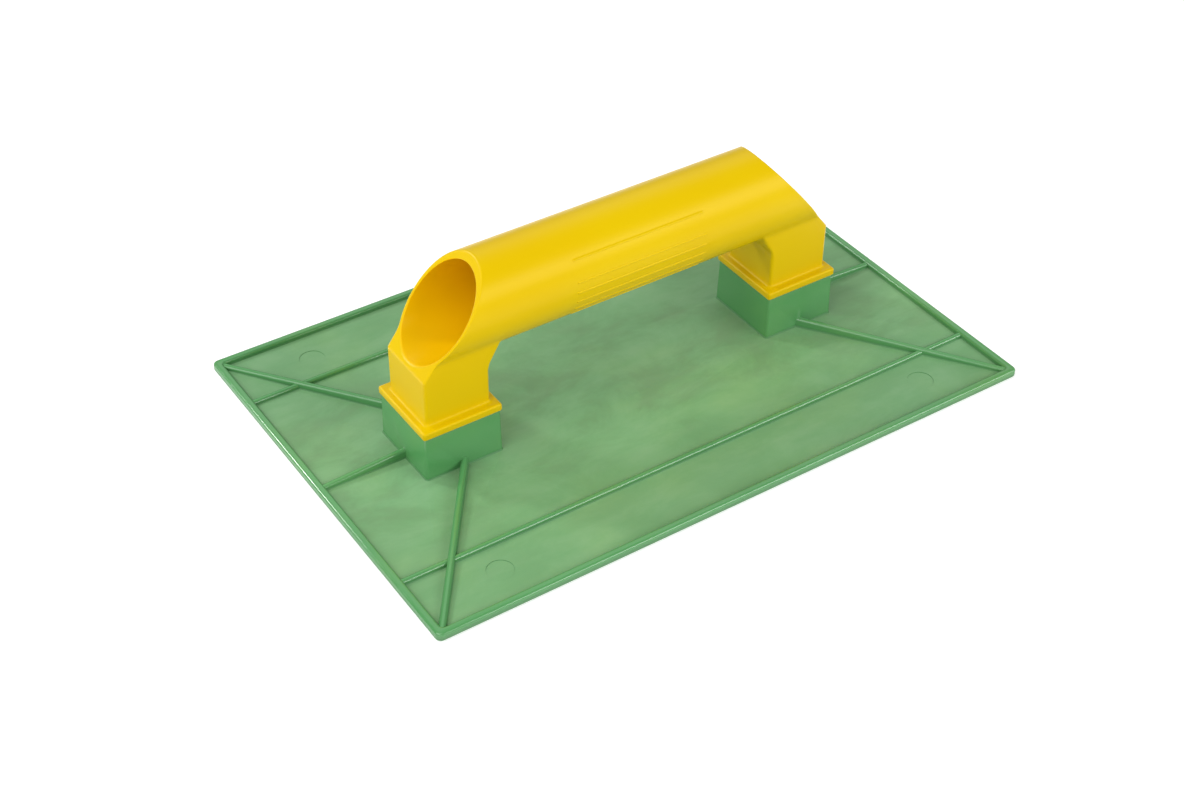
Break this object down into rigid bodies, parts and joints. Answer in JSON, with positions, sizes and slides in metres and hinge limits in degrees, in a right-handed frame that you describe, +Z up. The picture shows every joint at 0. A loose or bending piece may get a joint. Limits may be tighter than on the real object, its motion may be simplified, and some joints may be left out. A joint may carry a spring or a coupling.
{
  "type": "plastering float",
  "caption": "Flat rectangular hand float with a ribbed plate, two square pedestals and an open tubular grip, usable as a sanding block.",
  "frame": {"origin": "centre of the sole, the flat underside of the plate", "axes": "+X along the plate and the grip, +Y across the plate, +Z up from the sole through the grip"},
  "size_m": [0.27, 0.182, 0.0827],
  "materials": {
    "green_plastic": "moulded, satin, slightly mottled",
    "yellow_plastic": "moulded, semi-gloss",
    "screw_steel": "bright zinc plated"
  },
  "bodies": {
    "root": {"float_plate": "green_plastic", "handle": "yellow_plastic", "handle_screw_left": "screw_steel", "handle_screw_right": "screw_steel"}
  },
  "joints": []
}
